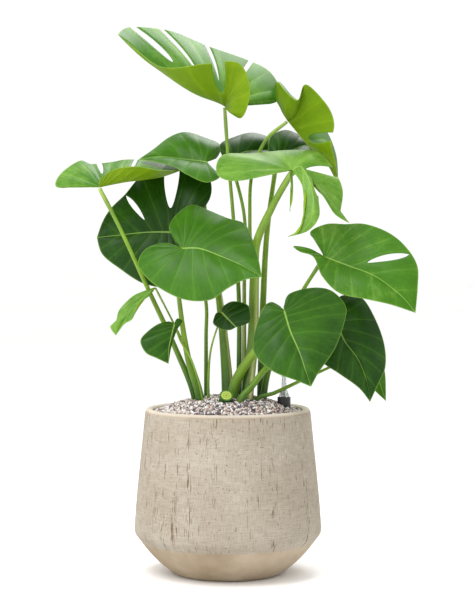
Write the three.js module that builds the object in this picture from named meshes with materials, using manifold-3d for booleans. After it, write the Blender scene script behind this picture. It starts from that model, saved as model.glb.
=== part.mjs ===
// A potted monstera in a stone-look planter, with granulate and a water gauge.
// Millimetres, +Z up, the front faces -Y, the origin is the middle of the
// planter's resting face.
import * as THREE from 'three';
import { mergeVertices } from 'three/addons/utils/BufferGeometryUtils.js';
import Module from 'manifold-3d';

const wasm = await Module();
wasm.setup();

// Driving dimensions
const GAP = 0.3;
const LEAF_THICKNESS = 1.2;
const MARGIN_STEPS = 2;
const BLADE_ROWS = [0, 0.3, 0.6, 0.82, 1];
const SETTLED_REACH = 40;
const SETTLED_START = 0.25;
const SWELL_WIDTH = 70;
const THIN_START = 0.12;
const THIN_END = 0.08;
const THIN_WIDTH = 25;
const THINNEST = 0.2;
const SWELL_RISE = 6;
const HOLE_BLUNTNESS = 0.6;
const SLOT_FLARE = 1.4;
const SLOT_SHIFT_REACH = 4;
const SLOT_COLUMN_GAP = 0.006;
const SLOT_SPLIT = 1e-6;
const SAME_PLACE = 1e-4;
const STALK_END_GAP = 2;
const STALK_DEPTH = 14;
const STALK_STRAIGHT_TO = 316;
const STALK_STEP = 40;
const STALK_SIDES = 4;
const FOOT_CLEARANCE = 0.5;
const STUMP = {
  radius: 12, centre: [-3, -57, 324], axis: [0.1, -0.75, 0.65], below: 20, above: 6, sides: 20,
};
const POT_SEGMENTS = 64;
const POT_OUTER = [
  [94, 0], [104, 4], [113.5, 12], [124, 20.5], [134, 30], [143.3, 40], [151.5, 50],
  [159, 60], [164.5, 67], [168.6, 73], [170, 79], [170, 88], [167, 130], [162.3, 180],
  [156, 240], [151, 288], [149.4, 295.5], [146.5, 299.4], [143, 300],
];
const POT_INNER = [
  [138.6, 298.6], [136.4, 294.5], [137.5, 280], [143.5, 220], [150, 150], [153, 100],
  [150, 82], [138, 60], [118, 40], [96, 26], [0, 24],
];
const FILL_SKIRT = 135.6;
const FILL_EDGE_Z = 291;
const FILL_CROWN = 30;
const FILL_BOTTOM = 262;
const DOME_STEPS = 12;
const ROOT_RADIUS = 134;
const SOIL = [
  [0, 24.6], [94, 26.4], [116.5, 41], [ROOT_RADIUS, 58],
  [ROOT_RADIUS, FILL_BOTTOM - GAP], [0, FILL_BOTTOM - GAP],
];
const GAUGE = { x: 102, y: -10, collar: 12, shaft: 8, foot: 42, collarFoot: 296 };
const GAUGE_COLLAR = [
  [4.4, 296], [GAUGE.collar, 296], [GAUGE.collar, 319.6], [GAUGE.collar - 1.2, 321],
  [4.4, 321], [4.4, 296],
];
const GAUGE_WINDOW = [
  [4.6, 321.3], [9.4, 321.3], [8.8, 324], [4.5, 337], [4.2, 352], [4.2, 376], [3.4, 378.6],
  [0, 379.4], [0, 377.6], [2.9, 376], [2.9, 338], [3.4, 334], [4.6, 326], [4.6, 321.3],
];
const GAUGE_SHAFT = [
  [6, GAUGE.foot], [GAUGE.shaft, GAUGE.foot], [GAUGE.shaft, 295.7], [6, 295.7], [6, GAUGE.foot],
];
const GAUGE_FLOAT = [
  [0, 52], [5, 52], [5, 90], [1.2, 93], [1.2, 322], [1.8, 323], [1.8, 334], [0, 335],
];
const ABOVE_ALL = 400;

// Each blade, in the plant's own millimetres: where its stalk joins it, its tip,
// the midrib between them, and the left and right margins between them, as the
// few points that the curves pass through. up is the upper side at the stalk,
// vein how late the side veins leave the midrib, bulge how far each half swells,
// and a slot is [side, share of the margin, half gap, from, to], where a slot
// that ends before 1 is a closed hole.
const BLADES = {
  top: {
    at: [-5, 30, 850], tip: [-200, 10, 980], up: [0.45, -0.05, 0.9],
    rib: [[-50, 25, 880], [-125, 20, 915]],
    left: [[25, -25, 825], [40, -75, 870], [20, -95, 915], [-35, -90, 915],
      [-115, -30, 915], [-165, 0, 950]],
    right: [[35, 60, 860], [80, 85, 860], [100, 110, 880], [80, 140, 925], [35, 150, 950],
      [-40, 140, 975], [-110, 115, 1000], [-180, 65, 1000]],
    vein: 7, bulge: [-10, 10],
    slots: [[1, 0.53, 0.025, 0.42, 1], [-1, 0.54, 0.009, 0.4, 1], [-1, 0.667, 0.007, 0.34, 1],
      [-1, 0.8, 0.007, 0.3, 1], [-1, 0.88, 0.012, 0.36, 1]],
  },
  upper_right: {
    at: [110, 40, 825], tip: [200, -10, 705], up: [0.62, -0.1, 0.75],
    rib: [[150, 20, 775], [180, 5, 745]],
    left: [[85, 95, 880], [95, 115, 905], [120, 125, 880], [145, 125, 860],
      [180, 105, 820], [200, 60, 765]],
    right: [[90, 10, 860], [90, -15, 890], [105, -40, 870], [125, -45, 855], [135, -55, 880],
      [150, -60, 875], [180, -60, 840], [190, -55, 810], [185, -45, 780], [195, -25, 740]],
    vein: 6, bulge: [8, -8],
    slots: [[-1, 0.79, 0.02, 0.3, 1]],
  },
  far_left: {
    at: [-230, -40, 700], tip: [-85, 40, 735], up: [-0.1, 0, 0.99],
    rib: [[-185, -20, 710], [-125, 15, 720]],
    left: [[-265, -50, 700], [-305, -60, 700], [-300, -30, 725], [-270, 10, 750],
      [-250, 25, 745], [-215, 50, 750], [-190, 60, 755], [-160, 75, 755], [-115, 80, 750]],
    right: [[-225, -60, 715], [-200, -75, 730], [-160, -75, 735], [-120, -40, 730]],
    vein: 4, bulge: [4, -4],
    slots: [[1, 0.54, 0.012, 0.45, 1], [1, 0.767, 0.01, 0.5, 1]],
  },
  back_left: {
    at: [-40, 50, 750], tip: [-165, 50, 755], up: [0, -0.45, 0.88],
    rib: [[-75, 65, 755], [-125, 60, 760]],
    left: [[-25, 30, 735], [-15, 10, 720], [-40, -10, 710], [-75, -5, 725], [-100, 15, 740],
      [-135, 40, 750]],
    right: [[-20, 75, 760], [-15, 100, 785], [-45, 115, 800], [-80, 115, 810],
      [-110, 105, 800], [-140, 80, 775]],
    vein: 3, bulge: [6, 10],
  },
  fingered: {
    at: [115, -50, 730], tip: [105, -130, 610], up: [0.1, -0.35, 0.93],
    rib: [[130, -80, 735], [145, -100, 705], [150, -115, 670], [140, -125, 630]],
    left: [[70, -65, 720], [10, -65, 710], [-20, -40, 725], [-10, 5, 760], [45, 30, 765],
      [110, 20, 770], [160, -10, 765], [185, -35, 740], [205, -55, 695], [200, -70, 645],
      [215, -85, 635], [190, -90, 650], [170, -95, 680], [160, -105, 680], [160, -120, 645],
      [140, -125, 620]],
    right: [[110, -70, 720], [115, -90, 680], [110, -100, 655], [135, -105, 690],
      [135, -120, 655], [125, -130, 620]],
    vein: 5, bulge: [6, 3],
    slots: [[-1, 0.5, 0.07, 0.2, 1], [1, 0.49, 0.012, 0.3, 1], [1, 0.618, 0.03, 0.28, 1],
      [1, 0.794, 0.03, 0.3, 1]],
  },
  left_round: {
    at: [-100, 20, 620], tip: [-240, 20, 610], up: [-0.05, -0.93, 0.35],
    rib: [[-145, 20, 620], [-195, 20, 615]],
    left: [[-75, 15, 605], [-45, 5, 585], [-45, 5, 545], [-90, 0, 520], [-150, 0, 525],
      [-200, 10, 555], [-230, 15, 580]],
    right: [[-75, 25, 640], [-40, 35, 670], [-30, 45, 700], [-40, 55, 730], [-75, 65, 740],
      [-115, 65, 740], [-160, 60, 725], [-190, 45, 690], [-215, 40, 665], [-230, 30, 640]],
    vein: 4, bulge: [6, 6],
    slots: [[-1, 0.52, 0.03, 0.35, 1], [-1, 0.727, 0.013, 0.3, 0.95]],
  },
  front_heart: {
    at: [-80, -70, 590], tip: [60, -120, 540], up: [-0.05, -0.8, 0.6],
    rib: [[-50, -75, 590], [-10, -85, 575], [25, -100, 560]],
    left: [[-95, -55, 605], [-105, -35, 630], [-90, -5, 655], [-65, 10, 670], [-35, 10, 660],
      [0, -15, 645], [30, -15, 635], [45, -50, 605], [55, -90, 570]],
    right: [[-110, -60, 600], [-145, -55, 590], [-160, -60, 565], [-150, -75, 545],
      [-120, -95, 520], [-75, -110, 500], [-30, -120, 500], [0, -125, 520], [30, -120, 535]],
    vein: 4, bulge: [8, 8],
  },
  right_wide: {
    at: [175, 0, 575], tip: [335, -60, 475], up: [0.3, -0.6, 0.75],
    rib: [[215, -20, 560], [265, -40, 540], [310, -55, 505]],
    left: [[165, 5, 600], [150, 10, 620], [180, 20, 635], [215, 20, 635], [250, 10, 635],
      [290, -5, 620], [320, -20, 595], [340, -40, 560], [340, -50, 520]],
    right: [[150, 5, 590], [120, 5, 595], [130, -5, 585], [155, -15, 575], [170, -30, 540],
      [200, -45, 510], [245, -60, 500], [290, -65, 490]],
    vein: 4, bulge: [8, 8],
    slots: [[1, 0.745, 0.02, 0.25, 0.95]],
  },
  right_heart: {
    at: [100, -90, 480], tip: [145, -145, 350], up: [0.05, -0.9, 0.4],
    rib: [[110, -105, 445], [125, -120, 410], [135, -135, 380]],
    left: [[100, -85, 490], [110, -75, 510], [150, -55, 520], [185, -45, 515], [210, -45, 490],
      [210, -60, 465], [190, -100, 415], [160, -130, 375]],
    right: [[90, -85, 490], [75, -85, 495], [60, -90, 480], [45, -100, 430], [50, -110, 400],
      [80, -130, 375], [120, -140, 360]],
    vein: 4, bulge: [8, 8],
  },
  right_back: {
    at: [195, -10, 465], tip: [255, -50, 315], up: [0.1, -0.93, 0.3],
    rib: [[210, -20, 425], [235, -30, 390], [250, -40, 350]],
    left: [[195, 0, 490], [210, 10, 505], [245, 15, 500], [270, 10, 460], [285, 0, 415],
      [285, -20, 375], [270, -40, 345]],
    right: [[180, -5, 475], [160, -10, 460], [150, -15, 430], [165, -30, 390], [200, -40, 365],
      [235, -45, 340]],
    vein: 4, bulge: [8, 8],
  },
  right_hidden: {
    at: [255, 45, 400], tip: [290, 20, 310], up: [0.3, -0.9, 0.2],
    rib: [[270, 40, 370], [280, 30, 340]],
    left: [[265, 50, 410], [280, 45, 395], [290, 40, 360]],
    right: [[245, 40, 390], [250, 35, 365], [265, 30, 335]],
    vein: 3, bulge: [3, 3],
  },
  left_curled: {
    at: [-130, -50, 520], tip: [-200, -60, 435], up: [-0.6, -0.35, 0.7],
    rib: [[-155, -50, 500], [-180, -55, 470]],
    left: [[-140, -55, 505], [-160, -65, 490], [-170, -70, 465], [-185, -65, 455]],
    right: [[-145, -45, 515], [-170, -35, 505], [-195, -35, 480], [-200, -50, 460],
      [-210, -55, 450]],
    vein: 3, bulge: [4, 4],
  },
  left_small: {
    at: [-95, -60, 455], tip: [-105, -75, 385], up: [-0.2, -0.85, 0.4],
    rib: [[-100, -65, 435], [-105, -70, 410]],
    left: [[-90, -55, 465], [-80, -55, 460], [-90, -55, 445], [-100, -65, 415]],
    right: [[-105, -60, 460], [-125, -70, 455], [-145, -75, 440], [-155, -75, 425],
      [-145, -80, 405], [-125, -80, 395]],
    vein: 3, bulge: [3, 5],
  },
  centre_small: {
    at: [-10, -60, 475], tip: [15, -70, 450], up: [-0.1, -0.9, 0.45],
    rib: [[0, -65, 465], [10, -70, 455]],
    left: [[-10, -60, 485], [5, -60, 495], [20, -60, 495], [35, -65, 490], [40, -70, 480],
      [40, -75, 460]],
    right: [[-20, -55, 475], [-25, -60, 465], [-25, -65, 455], [-10, -65, 445], [5, -70, 445]],
    vein: 3, bulge: [4, 3],
  },
  back_right: {
    at: [90, 80, 755], tip: [175, 135, 775], up: [-0.05, -0.5, 0.86],
    rib: [[110, 100, 770], [145, 125, 785]],
    left: [[75, 85, 770], [80, 110, 800], [105, 130, 815], [130, 145, 810], [155, 150, 795]],
    right: [[110, 65, 745], [135, 75, 750], [155, 100, 760]],
    vein: 3, bulge: [8, 8],
  },
  back_centre: {
    at: [5, 55, 755], tip: [100, 120, 775], up: [-0.05, -0.45, 0.88],
    rib: [[30, 75, 770], [65, 100, 775]],
    left: [[-10, 60, 760], [-15, 85, 785], [10, 110, 800], [45, 130, 810], [80, 135, 800]],
    right: [[25, 45, 745], [55, 50, 745], [80, 80, 760]],
    vein: 3, bulge: [8, 8],
  },
};

// Each stalk: radius at the foot and at the top, how late it tapers, where it
// leaves the granulate, and the points that it bends through on its way up.
const STALKS = {
  top: {
    foot: 6, top: 3, taper: 2, from: [20, 20],
    way: [[20, 25, 500], [10, 30, 645], [0, 35, 760]],
  },
  upper_right: {
    foot: 5.5, top: 3, taper: 2, from: [40, 10],
    way: [[45, 10, 500], [40, 15, 640], [45, 40, 730], [70, 45, 790]],
  },
  far_left: {
    foot: 7, top: 3.4, taper: 2, from: [-60, -5],
    way: [[-95, -20, 410], [-145, -30, 520], [-195, -40, 630]],
  },
  back_left: {
    foot: 14, top: 3.6, taper: 2, from: [0, 0],
    way: [[-5, 10, 395], [-15, 20, 490], [-30, 50, 585], [-45, 85, 680]],
  },
  fingered: {
    foot: 11.5, top: 4.5, taper: 0.7, from: [35, -20],
    way: [[45, -20, 425], [48, -24, 540], [52, -28, 600], [80, -38, 665]],
  },
  left_round: {
    foot: 4.5, top: 3, taper: 2, from: [-40, 10],
    way: [[-40, 15, 430], [-40, 15, 490], [-60, 30, 570]],
  },
  front_heart: {
    foot: 10, top: 3.6, taper: 2, from: [-50, -20],
    way: [[-70, -30, 385], [-85, -40, 480], [-90, -50, 550]],
  },
  right_wide: {
    foot: 8, top: 3.4, taper: 2, from: [65, 10],
    way: [[75, 15, 370], [105, 30, 450], [135, 15, 510]],
  },
  right_heart: {
    foot: 12, top: 4, taper: 0.8, from: [8, -24],
    way: [[17, -30, 355], [45, -44, 400], [80, -64, 445]],
  },
  right_back: {
    foot: 7, top: 3.4, taper: 1, from: [22, -52],
    way: [[45, -45, 345], [70, -35, 375], [130, 0, 420]],
  },
  right_hidden: {
    foot: 5, top: 2.4, taper: 2, from: [50, -30],
    way: [[85, -30, 330], [130, -20, 350], [190, 10, 375]],
  },
  left_curled: {
    foot: 3, top: 1.7, taper: 2, from: [-45, -5],
    way: [[-70, -10, 395], [-100, -30, 460]],
  },
  left_small: {
    foot: 2.6, top: 1.6, taper: 2, from: [-45, -45],
    way: [[-65, -50, 390], [-85, -45, 425]],
  },
  centre_small: {
    foot: 4, top: 1.6, taper: 2, from: [-35, -30],
    way: [[-35, -30, 355], [-30, -45, 410]],
  },
  back_right: {
    foot: 7, top: 3.2, taper: 0.6, from: [60, 35],
    way: [[65, 38, 500], [72, 45, 620]],
  },
  back_centre: {
    foot: 5.5, top: 3, taper: 2, from: [30, 45],
    way: [[30, 45, 515], [30, 45, 650]],
  },
};

// A point of the smooth curve through some points, at a share of their count.
function curveAt(points, share) {
  const last = points.length - 1;
  const x = Math.min(Math.max(share, 0), 1) * last;
  const i = Math.min(Math.floor(x), last - 1);
  const f = x - i;
  const at = (k) => points[Math.max(0, Math.min(last, k))];
  return new THREE.Vector3(...[0, 1, 2].map((n) => {
    const [a, b, c, d] = [at(i - 1)[n], at(i)[n], at(i + 1)[n], at(i + 2)[n]];
    return 0.5 * (2 * b + (c - a) * f + (2 * a - 5 * b + 4 * c - d) * f * f
      + (3 * b - 3 * c + d - a) * f ** 3);
  }));
}

const marginOf = (blade, side) => [blade.at, ...(side > 0 ? blade.left : blade.right), blade.tip];
const ribOf = (blade) => [blade.at, ...blade.rib, blade.tip];

// What the two halves of a blade share at s along a margin: the points of the
// margin and the midrib, the way across between them, the upper side, and how
// wide the half is there, measured square to the margin.
function bladeRuling(blade, side, s) {
  const margin = marginOf(blade, side);
  const rim = curveAt(margin, s);
  const rib = curveAt(ribOf(blade), s ** blade.vein);
  const along = curveAt(margin, s + 0.02).sub(curveAt(margin, s - 0.02)).normalize();
  const across = rim.clone().sub(rib);
  const up = new THREE.Vector3(...blade.up).normalize();
  const square = along.cross(across).multiplyScalar(side);
  const width = square.length();
  const face = square.normalize().lerp(up, Math.max(0, 1 - s / SETTLED_START)).normalize();
  return { rib, across, face, width };
}

// s runs along the margin and t from the midrib to the margin. Each half swells
// between its midrib and its margin.
function bladePoint(blade, side, s, t) {
  const { rib, across, face, width } = bladeRuling(blade, side, s);
  const ends = Math.min(1, SWELL_RISE * s, SWELL_RISE * (1 - s), width / SWELL_WIDTH);
  const swell = blade.bulge[side > 0 ? 0 : 1] * ends * Math.sin(Math.PI * t);
  return rib.addScaledVector(across, t).addScaledVector(face, swell);
}

// The direction out of the upper face, which settles to the blade's own upper
// side close to the stalk and the midrib.
function bladeFace(blade, side, s, t) {
  const up = new THREE.Vector3(...blade.up).normalize();
  if (t === 0) return up;
  const step = 0.01;
  const along = bladePoint(blade, side, Math.min(1, s + step), t)
    .sub(bladePoint(blade, side, Math.max(0, s - step), t));
  const across = bladePoint(blade, side, s, t + step).sub(bladePoint(blade, side, s, t - step));
  const reach = across.length() * t / (2 * step);
  const face = along.cross(across).multiplyScalar(side).normalize();
  return face.lerp(up, Math.max(0, 1 - reach / SETTLED_REACH)).normalize();
}

// A blade thins towards the sinus, the tip and its narrowest parts.
function bladeThickness(blade, side, s, t) {
  const ends = Math.min(1, s / THIN_START, (1 - s) / THIN_END);
  const { width } = bladeRuling(blade, side, s);
  const share = t === 0 ? ends : Math.min(ends, width / THIN_WIDTH);
  return LEAF_THICKNESS * Math.max(share, THINNEST);
}

// Moves a place on the margin away from the slots of its side.
function besideSlots(blade, side, s, t) {
  let moved = s;
  for (const [slotSide, at, gap, from, to] of blade.slots ?? []) {
    if (slotSide !== side || t <= from || (to < 1 && t >= to)) continue;
    const tau = (t - from) / (to - from);
    const open = to < 1 ? Math.sin(Math.PI * tau) ** HOLE_BLUNTNESS
      : Math.sqrt(tau) * (1 + SLOT_FLARE * (1 - tau));
    const d = s - at;
    moved += Math.sign(d) * gap * open * Math.max(0, 1 - Math.abs(d) / (SLOT_SHIFT_REACH * gap));
  }
  return moved;
}

function bladeColumns(blade, side) {
  const points = Math.max(blade.left.length, blade.right.length) + 1;
  const count = points * MARGIN_STEPS;
  const slots = blade.slots ?? [];
  const own = slots.filter((slot) => slot[0] === side).map((slot) => slot[1]);
  const others = slots.filter((slot) => slot[0] !== side).map((slot) => slot[1]);
  const near = (s) => slots.some((slot) => Math.abs(slot[1] - s) < SLOT_COLUMN_GAP);
  const columns = [];
  for (let i = 0; i <= count; i += 1) if (!near(i / count)) columns.push(i / count);
  for (const at of own) columns.push(at - SLOT_SPLIT, at + SLOT_SPLIT);
  columns.push(...others);
  return [...new Set(columns)].sort((a, b) => a - b);
}

// A blade that is thick inside and closes to an edge at margins and slots.
function bladeGeometry(blade) {
  const slots = blade.slots ?? [];
  const ends = slots.flatMap((slot) => [slot[3], slot[4], (slot[4] + 1) / 2]);
  const rows = [...new Set([...BLADE_ROWS, ...ends])].sort((a, b) => a - b);
  const positions = [];
  const index = [];
  const sharp = new Set();
  for (const side of [1, -1]) {
    const columns = bladeColumns(blade, side);
    const base = positions.length / 3;
    for (const s of columns) {
      const slot = slots.find((e) => e[0] === side && Math.abs(e[1] - s) < SAME_PLACE);
      for (const t of rows) {
        const joined = slot && (t <= slot[3] || (slot[4] < 1 && t >= slot[4]));
        const place = besideSlots(blade, side, joined ? slot[1] : s, t);
        const point = bladePoint(blade, side, place, t);
        const edge = t === 1 || s === 0 || s === 1 || (slot && t >= slot[3] && t <= slot[4]);
        const face = bladeFace(blade, side, place, t);
        const thick = edge ? 0 : bladeThickness(blade, side, place, t);
        const under = point.clone().addScaledVector(face, -thick);
        if (edge) sharp.add(positions.length / 3);
        positions.push(...point.toArray(), ...under.toArray());
      }
    }
    for (let i = 0; i < columns.length - 1; i += 1) {
      if (columns[i + 1] - columns[i] < SAME_PLACE) continue;
      for (let j = 0; j < rows.length - 1; j += 1) {
        const at = (c, r, layer) => base + 2 * (c * rows.length + r) + layer;
        for (const layer of [0, 1]) {
          const ring = [at(i, j, layer), at(i + 1, j, layer),
            at(i + 1, j + 1, layer), at(i, j + 1, layer)];
          if (sharp.has(at(i, j, 0)) && sharp.has(at(i + 1, j + 1, 0))) ring.push(ring.shift());
          const [a, b, c, d] = ring;
          const outwards = (side > 0) === (layer === 0);
          index.push(...(outwards ? [a, b, c, a, c, d] : [a, c, b, a, d, c]));
        }
      }
    }
  }
  return weld(positions, index);
}

function weld(positions, index) {
  const geometry = new THREE.BufferGeometry();
  geometry.setAttribute('position', new THREE.Float32BufferAttribute(positions, 3));
  geometry.setIndex(index);
  const merged = mergeVertices(geometry, 2e-3);
  const kept = [];
  const source = merged.index.array;
  for (let i = 0; i < source.length; i += 3) {
    const [a, b, c] = [source[i], source[i + 1], source[i + 2]];
    if (a !== b && b !== c && a !== c) kept.push(a, b, c);
  }
  merged.setIndex(kept);
  return merged;
}

// A stalk along a curve, round in section, with its own radius at each end.
function stalkGeometry(name, grow = 0) {
  const points = stalkPath(name);
  const { foot, top, taper } = STALKS[name];
  const curve = new THREE.CatmullRomCurve3(points.map((p) => new THREE.Vector3(...p)));
  const steps = Math.max(8, Math.round(curve.getLength() / STALK_STEP));
  const shape = new THREE.Shape();
  shape.absarc(0, 0, 1, 0, 2 * Math.PI);
  const geometry = new THREE.ExtrudeGeometry(shape, {
    extrudePath: curve, steps, curveSegments: STALK_SIDES, bevelEnabled: false,
  });
  const position = geometry.getAttribute('position');
  const spaced = [];
  for (let i = 0; i <= steps; i += 1) spaced.push(curve.getPointAt(i / steps));
  const v = new THREE.Vector3();
  for (let i = 0; i < position.count; i += 1) {
    v.fromBufferAttribute(position, i);
    let best = 0;
    for (let k = 1; k <= steps; k += 1) {
      if (v.distanceToSquared(spaced[k]) < v.distanceToSquared(spaced[best])) best = k;
    }
    const radius = top + (foot - top) * (1 - best / steps) ** taper + grow;
    v.sub(spaced[best]).multiplyScalar(radius).add(spaced[best]);
    position.setXYZ(i, v.x, v.y, v.z);
  }
  return geometry;
}

function solid(geometry) {
  const bare = geometry.clone();
  bare.deleteAttribute('normal');
  bare.deleteAttribute('uv');
  const merged = mergeVertices(bare, 1e-3);
  return new wasm.Manifold(new wasm.Mesh({
    numProp: 3,
    vertProperties: new Float32Array(merged.getAttribute('position').array),
    triVerts: new Uint32Array(merged.index.array),
  }));
}

function fromSolid(manifold) {
  const mesh = manifold.getMesh();
  const geometry = new THREE.BufferGeometry();
  geometry.setAttribute('position', new THREE.BufferAttribute(mesh.vertProperties, 3));
  geometry.setIndex(new THREE.BufferAttribute(mesh.triVerts, 1));
  return geometry;
}

// A turned solid about +Z from (radius, height) points.
function turned(profile, segments) {
  const points = profile.map(([r, z]) => new THREE.Vector2(r, z));
  const geometry = new THREE.LatheGeometry(points, segments);
  geometry.rotateX(Math.PI / 2);
  return geometry;
}

function material(color, roughness, metalness = 0) {
  return new THREE.MeshStandardMaterial({ color, roughness, metalness });
}

const plant = new THREE.Group();
function add(name, geometry, color, roughness, metalness = 0) {
  const shaded = geometry;
  shaded.computeVertexNormals();
  const mesh = new THREE.Mesh(shaded, material(color, roughness, metalness));
  mesh.name = name;
  plant.add(mesh);
  return mesh;
}

// The stalk starts down in the root ball and ends just under its blade.
function stalkPath(name) {
  const { from, way, top } = STALKS[name];
  const { at, up } = BLADES[name];
  const end = new THREE.Vector3(...up).normalize().multiplyScalar(-(top + STALK_END_GAP))
    .add(new THREE.Vector3(...at));
  return [[...from, FILL_BOTTOM - STALK_DEPTH], [...from, STALK_STRAIGHT_TO], ...way,
    end.toArray()];
}

function addPlant() {
  const feet = [];
  for (const [name, blade] of Object.entries(BLADES)) {
    add(`leaf_${name}`, bladeGeometry(blade), '#4d8f3c', 0.42);
    add(`stalk_${name}`, stalkGeometry(name), '#6f9f2f', 0.5);
    feet.push(solid(stalkGeometry(name, FOOT_CLEARANCE)));
  }
  return feet;
}

function addStump() {
  const axis = new THREE.Vector3(...STUMP.axis).normalize();
  const centre = new THREE.Vector3(...STUMP.centre);
  const make = (grow) => {
    const shape = new THREE.Shape();
    shape.absarc(0, 0, STUMP.radius + grow, 0, 2 * Math.PI);
    const path = new THREE.LineCurve3(
      centre.clone().addScaledVector(axis, -STUMP.below - grow),
      centre.clone().addScaledVector(axis, STUMP.above + grow),
    );
    return new THREE.ExtrudeGeometry(shape, {
      extrudePath: path, steps: 1, curveSegments: STUMP.sides, bevelEnabled: false,
    });
  };
  add('cut_stalk_stump', make(0), '#86ad3f', 0.55);
  return solid(make(GAP));
}

function addGauge() {
  const at = (geometry) => geometry.translate(GAUGE.x, GAUGE.y, 0);
  add('gauge_collar', at(turned(GAUGE_COLLAR, 28)), '#1c1a1d', 0.4);
  add('gauge_window', at(turned(GAUGE_WINDOW, 24)), '#d9dde0', 0.2);
  add('gauge_shaft', at(turned(GAUGE_SHAFT, 24)), '#2a292b', 0.5);
  add('gauge_float', at(turned(GAUGE_FLOAT, 16)), '#2b2626', 0.5);
  const hole = (radius, from) => solid(at(turned(
    [[0, from], [radius, from], [radius, ABOVE_ALL], [0, ABOVE_ALL]], 20)));
  return [hole(GAUGE.collar + GAP, GAUGE.collarFoot - GAP), hole(GAUGE.shaft + GAP, GAUGE.foot - GAP)];
}

function addFill(cuts) {
  const dome = [];
  for (let i = DOME_STEPS; i >= 0; i -= 1) {
    const share = i / DOME_STEPS;
    dome.push([FILL_SKIRT * share, FILL_EDGE_Z + FILL_CROWN * (1 - share ** 2)]);
  }
  let granulate = solid(turned([[0, FILL_BOTTOM], [FILL_SKIRT, FILL_BOTTOM], ...dome], 48));
  let soil = solid(turned(SOIL, 40));
  for (const cut of cuts) {
    granulate = granulate.subtract(cut);
    soil = soil.subtract(cut);
  }
  add('granulate', fromSolid(granulate), '#a49c9a', 0.9);
  add('root_ball', fromSolid(soil), '#4a3527', 0.95);
}

function addPlanter() {
  const profile = [[0, 0], ...POT_OUTER, ...POT_INNER];
  add('planter', turned(profile, POT_SEGMENTS), '#c9c0af', 0.85);
}

addPlanter();
const cuts = [...addPlant(), addStump(), ...addGauge()];
addFill(cuts);

export default plant;
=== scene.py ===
# %% [markdown]
# # A potted monstera
#
# A young Swiss cheese plant: sixteen leaf blades on long stalks, a turned
# planter of cast stone, mineral granulate over the root ball, and a water
# gauge. Nothing on it moves, so every piece rides on the one body, "root".
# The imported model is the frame: its millimetre shapes give each place, and
# the pieces here are finer copies that lie on the same curves.

import math

import bmesh
import bpy
import numpy as np
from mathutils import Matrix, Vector


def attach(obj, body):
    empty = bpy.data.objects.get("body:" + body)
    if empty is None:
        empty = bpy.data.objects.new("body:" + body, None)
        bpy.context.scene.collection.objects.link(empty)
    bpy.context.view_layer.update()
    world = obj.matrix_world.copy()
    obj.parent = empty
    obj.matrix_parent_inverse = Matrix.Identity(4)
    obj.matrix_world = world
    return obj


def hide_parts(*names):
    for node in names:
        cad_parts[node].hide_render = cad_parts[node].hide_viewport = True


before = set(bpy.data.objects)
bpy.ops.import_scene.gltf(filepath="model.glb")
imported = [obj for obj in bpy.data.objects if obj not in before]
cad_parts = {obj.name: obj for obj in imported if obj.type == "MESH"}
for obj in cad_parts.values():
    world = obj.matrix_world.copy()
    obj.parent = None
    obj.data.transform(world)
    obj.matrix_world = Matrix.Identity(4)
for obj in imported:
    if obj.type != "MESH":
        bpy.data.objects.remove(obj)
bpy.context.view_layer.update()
BODY = "root"
MM = 0.001
print("nodes in the frame:", len(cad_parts))

# %% [markdown]
# ## Small helpers
#
# Colours are written as sRGB hex, as a paint chart gives them, but the
# renderer adds light up in linear values, so one function turns them.
# A second one adds a shader node with its settings and links in one line.


# %% Colour and node helpers
def linear(hex_colour):
    """An sRGB hex colour as linear red, green, blue and alpha."""
    channels = [int(hex_colour[i : i + 2], 16) / 255 for i in (1, 3, 5)]
    return tuple(c / 12.92 if c <= 0.04045 else ((c + 0.055) / 1.055) ** 2.4 for c in channels) + (1,)


def add_node(tree, kind, settings=None, **inputs):
    """Adds a node; an input is a plain value or another node's output socket."""
    node = tree.nodes.new(kind)
    for name, value in (settings or {}).items():
        setattr(node, name, value)
    for name, value in inputs.items():
        key = int(name[2:]) if name.startswith("in") and name[2:].isdigit() else name.replace("_", " ")
        socket = node.inputs[key]
        if isinstance(value, bpy.types.NodeSocket):
            tree.links.new(value, socket)
        else:
            socket.default_value = value
    return node


def ramp(tree, fac, stops):
    """A colour ramp over fac, with (place, hex colour) stops."""
    node = add_node(tree, "ShaderNodeValToRGB", Fac=fac)
    elements = node.color_ramp.elements
    while len(elements) < len(stops):
        elements.new(1)
    for element, (place, colour) in zip(elements, stops):
        element.position = place
        element.color = linear(colour)
    return node.outputs["Color"]


def blend_colours(tree, fac, first, second, mode="MIX"):
    """first where fac is 0, second where it is 1."""
    node = add_node(tree, "ShaderNodeMix", {"data_type": "RGBA", "blend_type": mode})
    for key, value in ((0, fac), (6, first), (7, second)):
        if isinstance(value, bpy.types.NodeSocket):
            tree.links.new(value, node.inputs[key])
        else:
            node.inputs[key].default_value = value
    return node.outputs[2]


def math_node(tree, operation, a, b=0.0, clamp=False):
    """One sum of two numbers or sockets."""
    node = add_node(tree, "ShaderNodeMath", {"operation": operation, "use_clamp": clamp}, in0=a, in1=b)
    return node.outputs[0]


def new_material(name):
    """An empty material with its tree and its shader."""
    material = bpy.data.materials.new(name)
    material.use_nodes = True
    tree = material.node_tree
    return material, tree, tree.nodes["Principled BSDF"]


def new_piece(name, vertices, faces, materials, replaced=(), smooth=True):
    """A mesh object from points in millimetres, riding on the root body."""
    mesh = bpy.data.meshes.new(name)
    mesh.from_pydata((np.asarray(vertices) * MM).tolist(), [], faces)
    mesh.validate()
    for material in materials:
        mesh.materials.append(material)
    mesh.polygons.foreach_set("use_smooth", [smooth] * len(mesh.polygons))
    piece = bpy.data.objects.new(name, mesh)
    bpy.context.scene.collection.objects.link(piece)
    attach(piece, BODY)
    if replaced:
        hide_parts(*replaced)
    return piece


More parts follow.
